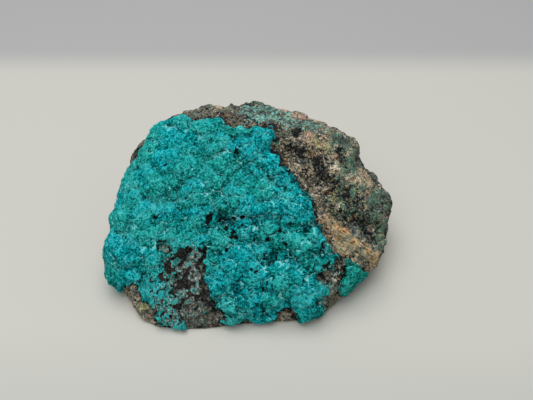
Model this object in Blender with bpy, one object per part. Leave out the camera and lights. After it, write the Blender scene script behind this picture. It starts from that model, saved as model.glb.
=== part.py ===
"""Chrysocolla specimen: a hand-sized piece of dark host rock with a knobbly blue-green crust on its broad face.

Run it with: blender --background --python part.py
Metres, +Z up. The specimen stands on z = 0 with its origin under the middle of its box, its length along X,
and its crust facing -Y and up. Sizes below are in millimetres and degrees, and MM turns them into metres.
"""

from math import copysign, cos, exp, radians, sin
from random import Random

import bmesh
import bpy
from mathutils import Vector, noise

MM = 0.001

# The heart is the point inside the rock that every side, swell and hollow is measured from.
HEART = Vector((0.0, 8.0, 18.0))
CORNER_SHARPNESS = 14.0  # higher keeps the edges between two sides crisper

# Each broken side of the rock: bearing round from -Y towards +X, rise above level, distance from the heart.
SIDES = {
    "crust face": (-6, 50, 18.4),
    "crust face, upper left": (-62, 40, 36.3),
    "crust face, foot": (-2, 20, 35.6),
    "crust face, crest": (-4, 68, 22.5),
    "left end": (-92, 8, 48.4),
    "front left corner": (-66, -6, 54.4),
    "front left foot": (-36, -4, 54.5),
    "front right undercut": (36, -14, 49.0),
    "right flank": (58, 44, 35.0),
    "right end": (94, 4, 50.4),
    "right end, lower": (68, -14, 50.0),
    "top": (160, 76, 29.0),
    "back": (178, 10, 32.0),
    "back, foot": (170, -16, 36.5),
    "back right corner": (126, 22, 40.0),
    "back right foot": (134, -8, 44.0),
    "back left corner": (-136, 24, 39.0),
    "back left foot": (-124, -6, 42.5),
    "base": (0, -90, HEART.z + 1.5),
}

# Rounded swells (+) and hollows (-): bearing, rise, reach in degrees, height.
SWELLS = {
    "right shoulder": (106, 20, 11, 3.4),
    "notch above the right lobe": (95, 12, 5, -1.2),
    "right lobe": (83, 3, 16, 3.8),
    "notch below the right lobe": (64, 2, 5.5, -5.0),
    "lower right ledge": (61, -7, 8, 2.6),
    "flank hollow": (56, 32, 13, -3.0),
    "flank ridge": (50, 6, 9, 1.8),
    "right foot": (32, -20, 13, 0.3),
    "front foot": (-26, -18, 13, 2.5),
    "front left foot": (-38, -19, 13, 3.2),
    "left bulge": (-64, -9, 13, 3.2),
    "bump at the left of the crest": (-122, 42, 5, 3.4),
    "notch in the crest": (-162, 46, 6, -3.4),
    "middle of the crest": (168, 44, 14, 2.0),
}

# Broken chips: flat facets knocked off the bare rock, this deep at their middle and this far across at most.
CHIPS = 110
CHIP_DEPTH = (0.2, 1.6)
CHIP_REACH = 13.0
CHIP_TILT = 0.16
# The bare rock's lumps and pits: size across, and height.
LUMP = (11.0, 1.7)
PIT = (5.0, 0.9)
# Broad folds that run through rock and crust alike.
FOLD = (19.0, 1.1)

# The crust is drawn square-on to this direction, in (across, up the face) from the heart.
FACE_VIEW = (0, 45)
CRUST_OUTLINE = [
    (-33, 25), (-26, 28), (-17, 26), (-10, 27), (-6, 23), (4, 22.5), (9, 25), (8.5, 20), (7, 17.5), (9, 15),
    (12, 10), (17, 4), (20, -2), (23, -9), (26, -16), (30, -22), (26, -26), (25, -38), (14, -46), (-40, -48),
    (-46, -34), (-52, -30), (-52, -22), (-49, -17), (-48.3, -13), (-49.5, -7), (-46.5, -3), (-46.5, 2), (-43, 9),
    (-38.5, 13.5), (-36, 18.5),
]
# Where the crust has worn away and the rock shows: (across, up the face, radius).
WORN_SPOTS = [
    (-21, -24, 3.5), (-17, -25, 3.5), (-20, -30, 4.5), (-15, -33, 3.0), (-18, -37, 5.0), (-12, -40, 3.5),
    (-39, -34, 4.5), (-34, -39, 4.0), (12, -40, 3.5), (25, -27, 2.0),
]
SIDE_CRUST_OUTLINE = [(31, -25), (34, -24), (38, -26), (41, -27.5), (37.5, -31), (34, -36), (30, -33)]
CRUST_LIMIT = 2.0  # how far round the rock's edge the crust wraps, as depth along FACE_VIEW from the heart
BASE_SNAP = 0.15  # corners this near the table lie on it
BARE_FOOT = 2.0  # the crust stops this high above the table
RAGGED = (4.0, 1.0)  # the wander of the crust's edge: size across, and height

GAP = 0.3  # clearance between the crust's underside and the rock
EDGE_RISE = 0.9  # how far the crust's broken edge stands over the bare rock
FULL_RISE = 1.5  # the same a little way in from the edge, in the creases between its knobs
ROUND_OVER = 3.0  # the width of the rounding between the two
BED_DEPTH = 1.6  # how deep the crust is bedded into the rock away from its edge
BED_SLOPE = 5.0  # distance from the edge over which the bed reaches that depth
KNOB = (6.5, 1.5)  # the crust's knobs: size across, and height
SMALL_KNOB = (3.4, 0.5)

# Broad mounds (+) and dips (-) of the crust: across, up the face, reach, height.
MOUNDS = {
    "upper mound": (-8, 14, 4.5, 1.4),
    "crevice under the upper mound": (-3.5, 12.5, 1.6, -1.6),
    "upper dip": (-2, 7, 6, -0.8),
    "middle mound": (3, -4, 5, 1.0),
    "pitted dip": (-5, -11, 6, -1.0),
    "right mound": (13, -8, 5, 1.2),
    "upper terrace": (17, -17, 6, 1.5),
    "terrace step": (6, -19, 5, -1.3),
    "lower terrace": (9, -29, 7, 1.6),
    "foot dip": (0, -33, 4, -1.0),
    "foot mound": (-3, -39, 4, 1.0),
    "left dip": (-29, 0, 6, -0.8),
    "left mound": (-36, -12, 8, 0.8),
}

SKIN_FACES = 4500
EDGE_BAND = 1.7  # the skin keeps all its small faces this near to a crust's edge
KNOB_EDGE = 1.6  # the longest edge the crust's knobs are shaped from
CRUST_FACES = 4300
SIDE_CRUST_FACES = 700
SEED = 11

ROCK_LOOK = ((0.075, 0.066, 0.055), 0.85)
CRUST_LOOK = ((0.008, 0.225, 0.220), 0.60)
SIDE_CRUST_LOOK = ((0.012, 0.215, 0.190), 0.65)


def towards(bearing, rise):
    """The unit vector with this bearing from -Y round towards +X, and this rise above level."""
    b, r = radians(bearing), radians(rise)
    return Vector((sin(b) * cos(r), -cos(b) * cos(r), sin(r)))


ACROSS = Vector((1, 0, 0))
UP_FACE = towards(*FACE_VIEW).cross(ACROSS)


def smooth_step(t):
    t = min(1.0, max(0.0, t))
    return t * t * (3 - 2 * t)


def rock_radius(direction):
    """How far the rock's skin is from its heart in this direction: the sides meet in rounded edges."""
    total = sum(
        max(0.0, towards(bearing, rise).dot(direction) / distance) ** CORNER_SHARPNESS
        for bearing, rise, distance in SIDES.values()
    )
    radius = total ** (-1 / CORNER_SHARPNESS)
    for bearing, rise, reach, height in SWELLS.values():
        angle = direction.angle(towards(bearing, rise)) / radians(reach)
        radius += height * exp(-angle * angle)
    return radius


def wave(point, size_and_height):
    size, height = size_and_height
    return height * noise.noise(point / size)


def domes(point, size_and_height):
    """Rounded knobs that meet in creases."""
    size, height = size_and_height
    nearest = noise.voronoi(point / size)[0][0]
    return height * (1 - min(1.0, nearest / 0.8) ** 2)


def distance_outside(outline, u, v):
    """How far (u, v) lies outside a closed outline; negative inside."""
    nearest, inside = 1e9, False
    for (u0, v0), (u1, v1) in zip(outline, outline[1:] + outline[:1]):
        du, dv = u1 - u0, v1 - v0
        along = ((u - u0) * du + (v - v0) * dv) / (du * du + dv * dv)
        along = min(1.0, max(0.0, along))
        nearest = min(nearest, (u - u0 - along * du) ** 2 + (v - v0 - along * dv) ** 2)
        if (v0 > v) != (v1 > v) and u < u0 + du * (v - v0) / dv:
            inside = not inside
    return copysign(nearest**0.5, -1 if inside else 1)


def outside_crust(point, outline, spots=()):
    """How far this point of the rock's skin is outside a crust; negative on it."""
    from_heart = point - HEART
    u, v = from_heart.dot(ACROSS), from_heart.dot(UP_FACE)
    outside = distance_outside(outline, u, v)
    for spot_u, spot_v, radius in spots:
        outside = max(outside, radius - ((u - spot_u) ** 2 + (v - spot_v) ** 2) ** 0.5)
    outside += wave(point, RAGGED)
    return max(outside, CRUST_LIMIT - from_heart.dot(towards(*FACE_VIEW)), BARE_FOOT - point.z)


def outside_main_crust(point):
    return outside_crust(point, CRUST_OUTLINE, WORN_SPOTS)


def outside_side_crust(point):
    return outside_crust(point, SIDE_CRUST_OUTLINE)


def bareness(point):
    """0 under a crust, close round it and on the base, rising to 1 on open rock."""
    outside = min(outside_main_crust(point), outside_side_crust(point))
    return smooth_step((outside - 0.8) / 3) * smooth_step((point.z - BASE_SNAP) / 5)


def knock_chips(bm):
    """Flatten patches of the bare rock, as where chips broke off it."""
    rng = Random(SEED)
    bm.normal_update()
    bm.verts.ensure_lookup_table()
    chips = []
    for _ in range(CHIPS):
        vert = bm.verts[rng.randrange(len(bm.verts))]
        tilt = Vector([rng.uniform(-CHIP_TILT, CHIP_TILT) for _ in range(3)])
        chips.append((vert.co.copy(), (vert.normal + tilt).normalized(), rng.uniform(*CHIP_DEPTH)))
    for vert in bm.verts:
        bare = bareness(vert.co)
        for middle, normal, depth in chips:
            over = (vert.co - middle).dot(normal) + depth
            near = smooth_step((CHIP_REACH - (vert.co - middle).length) / 4)
            vert.co -= normal * max(0.0, over) * near * bare


def smooth_skin(point):
    """The skin straight out from the heart through this point, before any chip or pit."""
    direction = (point - HEART).normalized()
    skin = HEART + direction * rock_radius(direction)
    return skin + direction * wave(skin, FOLD)


def skin_normal(point):
    """Square-on out of the smooth skin here."""
    direction = (point - HEART).normalized()
    one_way = direction.orthogonal().normalized()
    here, there, beyond = (
        smooth_skin(HEART + direction + step * 0.03) for step in (Vector(), one_way, direction.cross(one_way))
    )
    return (there - here).cross(beyond - here).normalized()


def make_skin():
    """The rock's whole outer skin, in millimetres, with few faces where it is flat."""
    bm = bmesh.new()
    bmesh.ops.create_icosphere(bm, subdivisions=6, radius=1.0)
    for vert in bm.verts:
        vert.co = smooth_skin(HEART + vert.co)
    knock_chips(bm)
    bm.normal_update()
    for vert in bm.verts:
        vert.co += vert.normal * bareness(vert.co) * (wave(vert.co, LUMP) - domes(vert.co, PIT))
        vert.co.z = max(vert.co.z, 0.0)
    free = [v for v in bm.verts if min(abs(outside_main_crust(v.co)), abs(outside_side_crust(v.co))) > EDGE_BAND]
    bm = thinned(bm, SKIN_FACES, free)
    for vert in bm.verts:
        if vert.co.z < BASE_SNAP:
            vert.co.z = 0.0
    bm.normal_update()
    return bm


def thinned(bm, faces, free):
    """The same mesh with about this many faces, most of them where it bends; only the free corners may go."""
    bm.verts.index_update()
    may_go = [vert.index for vert in free]
    mesh = bpy.data.meshes.new("thick")
    bm.to_mesh(mesh)
    bm.free()
    obj = bpy.data.objects.new("thick", mesh)
    bpy.context.scene.collection.objects.link(obj)
    decimate = obj.modifiers.new("Decimate", "DECIMATE")
    decimate.ratio = min(1.0, faces / len(mesh.polygons))
    obj.vertex_groups.new(name="may go").add(may_go, 1.0, "REPLACE")
    decimate.vertex_group = "may go"
    graph = bpy.context.evaluated_depsgraph_get()
    thin = bpy.data.meshes.new_from_object(obj.evaluated_get(graph))
    bm = bmesh.new()
    bm.from_mesh(thin)
    for data in (obj, mesh, thin):
        (bpy.data.objects if data is obj else bpy.data.meshes).remove(data)
    return bm


def cut_along(bm, outside, snap=0.4):
    """Cut the skin along the line where outside() is zero, and return the faces inside that line.

    Corners near the line move onto it first, so that the cut leaves no thin faces.
    """
    value = {vert: outside(vert.co) for vert in bm.verts}
    for vert in bm.verts:
        crossings = []
        for edge in vert.link_edges:
            other = edge.other_vert(vert)
            if value[vert] * value[other] < 0:
                crossings.append((value[vert] / (value[vert] - value[other]), other.co.copy()))
        along, other_end = min(crossings, key=lambda crossing: crossing[0], default=(1, None))
        if along < snap:
            vert.co = vert.co.lerp(other_end, along)
            value[vert] = 0.0
    for edge in [e for e in bm.edges if value[e.verts[0]] * value[e.verts[1]] < 0]:
        start, end = edge.verts
        along = value[start] / (value[start] - value[end])
        value[bmesh.utils.edge_split(edge, start, along)[1]] = 0.0
    bmesh.ops.connect_verts(bm, verts=[v for v in bm.verts if value[v] == 0])
    bmesh.ops.triangulate(bm, faces=[f for f in bm.faces if len(f.verts) > 3])
    return largest_patch(
        face
        for face in bm.faces
        if all(value[v] <= 0 for v in face.verts) and outside(face.calc_center_median()) < 0
    )


def largest_patch(faces):
    """The largest set of these faces that is joined edge to edge."""
    left, largest = dict.fromkeys(faces), []
    while left:
        patch = [left.popitem()[0]]
        for face in patch:
            for edge in face.edges:
                for neighbour in edge.link_faces:
                    if neighbour in left:
                        del left[neighbour]
                        patch.append(neighbour)
        largest = max(largest, patch, key=len)
    return largest


def bed_depth(outside):
    return BED_DEPTH * smooth_step(-outside / BED_SLOPE)


def crust_rise(point, outside):
    """How far the crust's face stands over the skin here."""
    u, v = (point - HEART).dot(ACROSS), (point - HEART).dot(UP_FACE)
    shape = FULL_RISE - EDGE_RISE + domes(point, KNOB) + domes(point, SMALL_KNOB)
    for at_u, at_v, reach, height in MOUNDS.values():
        shape += height * exp(-((u - at_u) ** 2 + (v - at_v) ** 2) / reach**2)
    return EDGE_RISE + smooth_step(-outside / ROUND_OVER) * max(0.0, shape)


def make_crust(covered, outside, faces):
    """The crust over these faces of the skin: an underside laid in the rock's bed, a rim and a knobbly face."""
    bm = bmesh.new()
    under, over = {}, {}
    for vert in {v: None for face in covered for v in face.verts}:
        normal = skin_normal(vert.co)
        under[vert] = bm.verts.new(vert.co + normal * (GAP - bed_depth(outside(vert.co))))
        over[vert] = bm.verts.new(vert.co + normal * (GAP + EDGE_RISE))
    inside = set(covered)
    for face in covered:
        bm.faces.new([under[v] for v in reversed(face.verts)])
        bm.faces.new([over[v] for v in face.verts]).material_index = 1
        for loop in face.loops:
            if loop.link_loop_radial_next.face not in inside:
                a, b = loop.vert, loop.link_loop_next.vert
                bm.faces.new([under[a], under[b], over[b], over[a]])

    def is_front(face):
        return face.material_index == 1

    for _ in range(4):
        front = [e for e in bm.edges if any(map(is_front, e.link_faces)) and e.calc_length() > KNOB_EDGE]
        bmesh.ops.subdivide_edges(bm, edges=front, cuts=1)
        bmesh.ops.triangulate(bm, faces=[f for f in bm.faces if len(f.verts) > 3])
    free = [v for v in bm.verts if all(map(is_front, v.link_faces))]
    for vert in free:
        vert.co = smooth_skin(vert.co)
        vert.co += skin_normal(vert.co) * (GAP + crust_rise(vert.co, outside(vert.co)))
    for face in bm.faces:
        face.material_index = 0
    return thinned(bm, faces, free)


def add_part(bm, name, look, collection):
    mesh = bpy.data.meshes.new(name)
    bm.to_mesh(mesh)
    bm.free()
    material = bpy.data.materials.new(name)
    material.use_nodes = True
    principled = material.node_tree.nodes["Principled BSDF"]
    colour, roughness = look
    principled.inputs["Base Color"].default_value = (*colour, 1)
    principled.inputs["Roughness"].default_value = roughness
    principled.inputs["Metallic"].default_value = 0.0
    mesh.materials.append(material)
    mesh.shade_smooth()
    obj = bpy.data.objects.new(name, mesh)
    collection.objects.link(obj)
    return obj


def main():
    for obj in list(bpy.data.objects):
        bpy.data.objects.remove(obj, do_unlink=True)
    collection = bpy.data.collections.new("chrysocolla_specimen")
    bpy.context.scene.collection.children.link(collection)

    rock = make_skin()
    side_covered = cut_along(rock, outside_side_crust)
    covered = cut_along(rock, outside_main_crust)
    side_covered = [face for face in side_covered if face.is_valid]
    rock.normal_update()
    crust = make_crust(covered, outside_main_crust, CRUST_FACES)
    side_crust = make_crust(side_covered, outside_side_crust, SIDE_CRUST_FACES)
    for patch, outside in ((covered, outside_main_crust), (side_covered, outside_side_crust)):
        for vert in {v: None for face in patch for v in face.verts}:
            vert.co -= skin_normal(vert.co) * bed_depth(outside(vert.co))

    parts = {"host_rock": rock, "chrysocolla_crust": crust, "side_crust": side_crust}
    corners = [vert.co for bm in parts.values() for vert in bm.verts]
    middle = [(min(c[axis] for c in corners) + max(c[axis] for c in corners)) / 2 for axis in (0, 1)]
    looks = (ROCK_LOOK, CRUST_LOOK, SIDE_CRUST_LOOK)
    for (name, bm), look in zip(parts.items(), looks):
        for vert in bm.verts:
            vert.co = (vert.co - Vector((*middle, 0))) * MM
        add_part(bm, name, look, collection)


main()
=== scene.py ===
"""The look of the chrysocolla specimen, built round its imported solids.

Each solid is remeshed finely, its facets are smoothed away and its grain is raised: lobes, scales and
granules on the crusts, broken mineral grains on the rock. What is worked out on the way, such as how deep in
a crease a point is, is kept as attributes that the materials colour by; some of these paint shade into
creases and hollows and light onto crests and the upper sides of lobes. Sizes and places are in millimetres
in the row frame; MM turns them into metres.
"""

from math import cos, radians, sin, tan

import bpy
import numpy as np
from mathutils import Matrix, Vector
from mathutils.bvhtree import BVHTree
from mathutils.kdtree import KDTree


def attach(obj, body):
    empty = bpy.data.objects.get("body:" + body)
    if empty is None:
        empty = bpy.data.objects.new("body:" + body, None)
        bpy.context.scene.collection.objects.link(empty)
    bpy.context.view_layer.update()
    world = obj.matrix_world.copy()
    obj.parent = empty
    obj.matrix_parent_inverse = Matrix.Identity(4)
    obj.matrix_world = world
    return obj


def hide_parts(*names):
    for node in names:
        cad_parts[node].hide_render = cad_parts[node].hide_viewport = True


MM = 0.001
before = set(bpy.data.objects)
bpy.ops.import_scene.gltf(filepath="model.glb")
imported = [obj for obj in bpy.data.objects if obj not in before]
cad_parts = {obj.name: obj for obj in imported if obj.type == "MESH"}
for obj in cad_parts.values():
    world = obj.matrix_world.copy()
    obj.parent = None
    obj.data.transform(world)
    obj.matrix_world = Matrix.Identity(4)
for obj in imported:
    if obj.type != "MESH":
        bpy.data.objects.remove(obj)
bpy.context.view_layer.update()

# Fine meshes: the spacing of their points and how often each is smoothed.
CRUST_VOXEL, CRUST_SMOOTHING = 0.27, 4
ROCK_VOXEL, ROCK_SMOOTHING = 0.52, 6
HIDDEN_SHARE = 0.03  # the share of its faces that a hidden underside keeps
MOST_TRIANGLES = 190_000  # in one piece

# Each piece's noise starts from its own seed.
CRUST_SEED, SIDE_SEED, ROCK_SEED, WORN_SEED = 100, 300, 500, 901
# The side crust's thickness and relief, as shares of its solid's and of the main crust's.
SIDE_THICKNESS, SIDE_RELIEF = 0.6, 0.35
# The crust's relief, from its lobes down to its grains: how far apart they are, how big, how high.
LOBE_SPACING, LOBE_RADIUS, NAMED_LOBE_ROOM = 7.0, 4.6, 5.5
SCALE_SPACING, SCALE_RADII = 3.3, (1.8, 3.2)
LUMP_SPACING, LUMP_RADIUS, LUMP_HEIGHT = 1.7, 1.2, 0.20
GRAIN_SPACING, GRAIN_RADIUS, GRAIN_HEIGHT = 0.85, 0.66, 0.15
BORDER = 1.1  # how wide the lines are where lobes or scales meet
# The rock's broken grains, coarse to fine: spacing, how far their outlines stray, steps and slants.
ROCK_GRAINS = [(3.6, 1.6, 0.28, 0.15), (1.9, 1.0, 0.22, 0.22), (1.05, 0.6, 0.15, 0.25)]

# The crust's rounded lobes: place and radius.
LOBES = [
    ((-11.3, 5.3, 43.7), 4.5), ((-2.5, 3.5, 41.6), 4.8), ((0.7, -13.5, 31.2), 4.6),
    ((8.2, -12.8, 31.5), 3.8), ((17.0, -13.7, 31.4), 5.0), ((7.2, -19.5, 25.7), 5.0),
    ((17.4, -24.0, 24.8), 5.6), ((24.5, -21.0, 24.5), 3.2), ((4.6, -22.6, 21.2), 3.0),
    ((-3.4, -26.2, 18.6), 5.2), ((11.3, -31.1, 17.4), 6.6), ((0.7, -34.1, 11.1), 4.6),
    ((18.4, -35.6, 12.4), 5.0), ((-33.5, -17.5, 23.2), 4.4), ((-28.6, -13.1, 27.7), 3.4),
    ((-16.0, -13.3, 27.5), 4.2), ((-21.8, -18.6, 23.4), 4.2), ((-39.1, -22.4, 17.9), 4.6),
    ((13.9, -7.1, 33.9), 4.8), ((0.6, -5.2, 35.8), 5.4), ((-11.1, -4.8, 35.4), 4.8),
    ((-21.3, -0.2, 38.1), 4.6), ((-29.7, -4.8, 33.2), 4.4), ((-15.0, 12.1, 46.3), 4.4),
    ((-26.1, 7.6, 42.8), 4.6), ((5.5, 7.1, 44.0), 3.8), ((-36.2, -11.7, 26.9), 4.2),
    ((8.9, -0.4, 39.2), 4.2), ((23.3, -27.8, 19.0), 3.4), ((-8.5, -20.6, 23.1), 4.0),
    ((-6.4, -36.2, 9.1), 3.4), ((7.8, -35.7, 11.0), 3.6),
]
# Its hollows between them: place, radius, depth.
HOLLOWS = [
    ((18.2, -20.0, 27.6), 2.4, 0.9), ((-3.5, -32.3, 12.9), 2.0, 0.9), ((20.0, -26.6, 22.3), 2.4, 0.8),
    ((-4.2, 2.0, 41.0), 1.6, 1.1), ((13.6, -26.1, 20.5), 2.4, 0.6), ((-7.6, -16.5, 25.8), 3.4, 0.5),
    ((7.0, -25.2, 19.0), 2.6, 0.7), ((-14.1, -20.0, 23.4), 2.6, 0.4), ((2.3, -16.8, 27.6), 2.2, 0.5),
]
# Its pits and cracks: place, radius, depth.
PITS = [
    ((-13.0, -14.1, 26.8), 1.2, 1.0), ((-12.4, -13.4, 27.8), 0.8, 0.9), ((-13.5, -14.9, 26.0), 0.7, 0.8),
    ((-1.7, -15.0, 27.7), 0.85, 1.1), ((-5.0, -14.9, 27.6), 0.65, 0.8), ((-2.0, -16.4, 25.4), 0.6, 0.7),
    ((1.3, -17.1, 27.0), 0.6, 0.7), ((-7.3, -16.9, 25.4), 0.8, 0.8), ((-4.6, -18.3, 24.5), 0.9, 1.0),
    ((-5.3, -19.7, 23.6), 0.8, 0.8), ((-3.8, -19.7, 23.6), 0.75, 0.8), ((-9.6, -14.7, 26.5), 0.85, 0.8),
    ((-9.6, -17.2, 25.2), 0.65, 0.7), ((6.5, -21.0, 23.5), 0.95, 1.0), ((12.3, -23.1, 23.9), 0.6, 0.8),
    ((10.4, -19.7, 26.4), 0.55, 0.7), ((24.7, -22.8, 23.8), 1.0, 1.3), ((24.4, -23.5, 22.9), 0.9, 1.2),
    ((-31.0, -13.2, 26.4), 0.8, 1.0), ((-30.0, -12.9, 27.0), 0.65, 0.9), ((-28.1, 0.2, 37.8), 0.6, 0.7),
    ((-4.2, 2.6, 41.5), 0.9, 1.8), ((-4.9, 3.2, 42.0), 0.7, 1.2), ((5.4, -23.8, 19.4), 0.6, 0.9),
    ((5.7, -24.8, 19.1), 0.6, 0.9), ((6.7, -25.6, 18.8), 0.65, 0.9), ((7.7, -25.6, 19.1), 0.6, 0.9),
    ((8.7, -25.1, 19.7), 0.65, 0.9), ((9.3, -24.2, 20.4), 0.6, 0.9), ((1.0, -28.5, 17.3), 0.6, 0.8),
    ((2.7, -29.0, 17.0), 0.6, 0.8), ((-6.8, -23.2, 21.1), 0.8, 0.8), ((23.4, -29.9, 15.5), 0.8, 0.8),
    ((22.6, -31.9, 15.0), 0.7, 0.8), ((16.5, -6.9, 33.3), 0.65, 0.8),
]
# Where tiny black pores pepper it: place, reach, strength.
PEPPER = [
    ((-6.0, -16.6, 25.4), 5.0, 1.0), ((-2.5, -18.0, 24.6), 3.5, 0.8), ((3.0, -17.0, 27.0), 4.0, 0.5),
    ((8.0, -21.0, 23.8), 3.0, 0.6), ((-24.5, -22.0, 18.5), 4.0, 0.9), ((-24.0, -27.0, 14.5), 5.0, 0.9),
    ((-31.0, -30.0, 12.5), 5.0, 0.8), ((-27.0, -33.0, 9.5), 5.0, 0.8), ((-36.0, -27.0, 12.0), 4.0, 0.6),
    ((22.0, -29.0, 17.0), 4.0, 0.7), ((22.5, -34.0, 8.0), 4.0, 0.9), ((14.0, -37.0, 6.0), 4.0, 0.5),
    ((5.5, 6.0, 43.0), 3.5, 0.6), ((-7.0, 11.0, 45.5), 3.5, 0.4),
]
# Where the crust is paler and powdery: place, reach, strength.
POWDER = [
    ((-29.5, -10.0, 28.9), 3.5, 0.9), ((-24.0, -9.0, 29.8), 4.0, 0.5), ((-25.6, -22.0, 21.0), 4.5, 0.6),
    ((-23.6, -38.7, 5.6), 5.0, 0.9), ((-26.7, -35.2, 10.4), 5.0, 0.8), ((-31.8, -31.4, 12.7), 5.0, 0.7),
    ((-2.5, -39.2, 5.1), 4.0, 0.8), ((-7.8, 3.5, 43.7), 3.0, 0.7), ((16.8, -36.4, 12.0), 5.0, 0.7),
    ((23.2, -33.0, 12.0), 4.0, 0.6), ((-44.0, -23.3, 15.4), 4.0, 0.4), ((12.0, -10.0, 31.0), 5.0, 0.4),
    ((21.0, -21.0, 25.0), 3.5, 0.5), ((-38.0, 2.0, 34.0), 7.0, 0.3), ((-6.0, -36.0, 10.0), 4.0, 0.5),
]
# Where its colour is lighter: place, reach, strength.
BRIGHTER = [
    ((-33.0, 10.0, 38.0), 13.0, 1.0), ((-42.0, -6.0, 27.0), 11.0, 0.8), ((-20.0, 14.0, 44.0), 9.0, 0.8),
    ((3.0, 4.0, 42.5), 6.0, 0.4), ((12.0, -8.0, 33.0), 6.0, 0.5), ((34.0, -28.5, 13.0), 5.0, 0.8),
]

# Where the crust is worn through or thin: place, reach, strength.
WORN = [
    ((-20.5, -24.5, 15.2), 5.0, 1.0), ((-18.3, -28.0, 12.8), 5.2, 1.0), ((-19.8, -31.5, 10.0), 5.0, 0.9),
    ((-17.6, -24.0, 17.5), 3.2, 1.0), ((-19.0, -22.6, 20.0), 2.6, 1.0), ((-16.0, -23.2, 19.6), 1.9, 1.0),
    ((-16.0, -32.2, 9.4), 3.4, 1.0), ((-25.6, -24.9, 17.2), 3.6, 0.75), ((-26.6, -29.3, 15.4), 4.0, 0.66),
    ((-24.8, -29.5, 13.5), 3.6, 0.8), ((-27.3, -21.4, 20.7), 2.2, 0.85), ((-24.0, -34.0, 8.9), 4.5, 0.7),
    ((-29.5, -33.0, 11.0), 4.5, 0.45), ((-26.5, -38.3, 8.3), 4.0, 0.5), ((-8.0, -37.5, 4.5), 3.2, 0.6),
    ((26.5, -26.5, 17.0), 2.8, 0.8), ((26.0, -30.5, 12.5), 3.2, 0.7), ((24.5, -34.5, 8.0), 3.6, 0.7),
    ((30.2, -31.0, 11.3), 2.4, 0.6), ((-25.0, -38.8, 6.0), 4.5, 0.75), ((-22.5, -37.5, 6.0), 3.5, 0.85),
    ((-28.5, -36.5, 8.5), 4.0, 0.7),
]
# Where its edge is bitten away: place, reach, strength.
BITES = [
    ((8.3, 4.5, 41.8), 1.8, 1.0), ((11.9, -0.5, 38.8), 1.8, 1.0), ((22.8, -12.0, 29.0), 1.4, 0.8),
    ((-45.5, -3.1, 23.5), 2.0, 1.0), ((-48.3, -15.8, 16.7), 2.2, 1.0), ((23.8, -36.5, 8.5), 2.0, 0.8),
    ((25.0, -33.0, 10.5), 1.6, 0.8), ((36.5, -29.5, 9.5), 2.6, 1.0), ((34.0, -31.5, 7.0), 2.4, 1.0),
]
# The blackest of the worn places: place, reach, strength.
BLACK_SPOTS = [
    ((-14.8, -23.8, 18.6), 1.3, 1.0), ((-15.0, -24.6, 16.3), 1.3, 1.0), ((-15.0, -26.2, 14.7), 1.3, 1.0),
    ((-14.9, -28.4, 13.3), 1.3, 1.0), ((-14.7, -30.4, 11.7), 1.5, 1.0), ((-13.9, -31.7, 10.1), 1.8, 1.0),
    ((-14.2, -33.0, 8.9), 1.7, 1.0), ((-21.8, -23.0, 18.5), 1.7, 1.0), ((-19.6, -22.6, 19.8), 1.4, 0.8),
    ((-15.7, -22.9, 20.3), 1.6, 1.0), ((-26.1, -26.5, 16.5), 1.5, 1.0), ((-25.2, -27.4, 15.6), 1.5, 0.9),
    ((-23.4, -27.3, 13.5), 1.4, 0.9), ((-26.6, -29.6, 15.0), 1.1, 0.9), ((-22.4, -29.3, 11.3), 1.7, 1.0),
    ((-20.1, -29.5, 11.0), 1.8, 0.9), ((-27.0, -20.6, 21.6), 1.1, 1.0), ((-27.9, -22.0, 20.0), 1.1, 1.0),
    ((-26.2, -22.6, 19.6), 1.1, 1.0), ((-33.8, -29.0, 12.5), 1.1, 0.9), ((-22.6, -35.5, 7.4), 1.4, 0.8),
    ((32.0, -26.4, 16.9), 1.8, 1.0), ((31.1, -28.3, 14.6), 1.4, 1.0),
]
# Thin films of crust on the rock: place, reach, strength.
FILM = [
    ((32.7, -25.5, 17.8), 1.3, 1.0), ((34.0, -26.2, 16.7), 1.7, 1.0), ((33.4, -27.4, 15.8), 1.6, 1.0),
    ((35.6, -26.4, 15.4), 1.6, 1.0), ((32.2, -28.6, 14.8), 1.3, 0.8), ((10.3, 8.0, 41.7), 0.9, 1.0),
    ((-14.2, -36.4, 5.2), 1.0, 0.7),
]

# The rock's minerals, from the one below the others to the one on top.
MINERALS = {
    "slate": (0.072, 0.094, 0.088),
    "brown": (0.15, 0.140, 0.112),
    "green": (0.10, 0.20, 0.145),
    "moss": (0.27, 0.28, 0.14),
    "teal": (0.17, 0.40, 0.35),
    "tan": (0.41, 0.34, 0.235),
    "pink": (0.45, 0.31, 0.225),
    "orange": (0.50, 0.27, 0.13),
    "cream": (0.52, 0.48, 0.38),
    "black": (0.008, 0.009, 0.011),
}
# How much of each there is away from the regions below.
COMMON = {
    "black": 34, "slate": 20, "brown": 9, "tan": 13, "green": 9,
    "cream": 5, "orange": 3, "pink": 4, "moss": 3,
}
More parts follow.
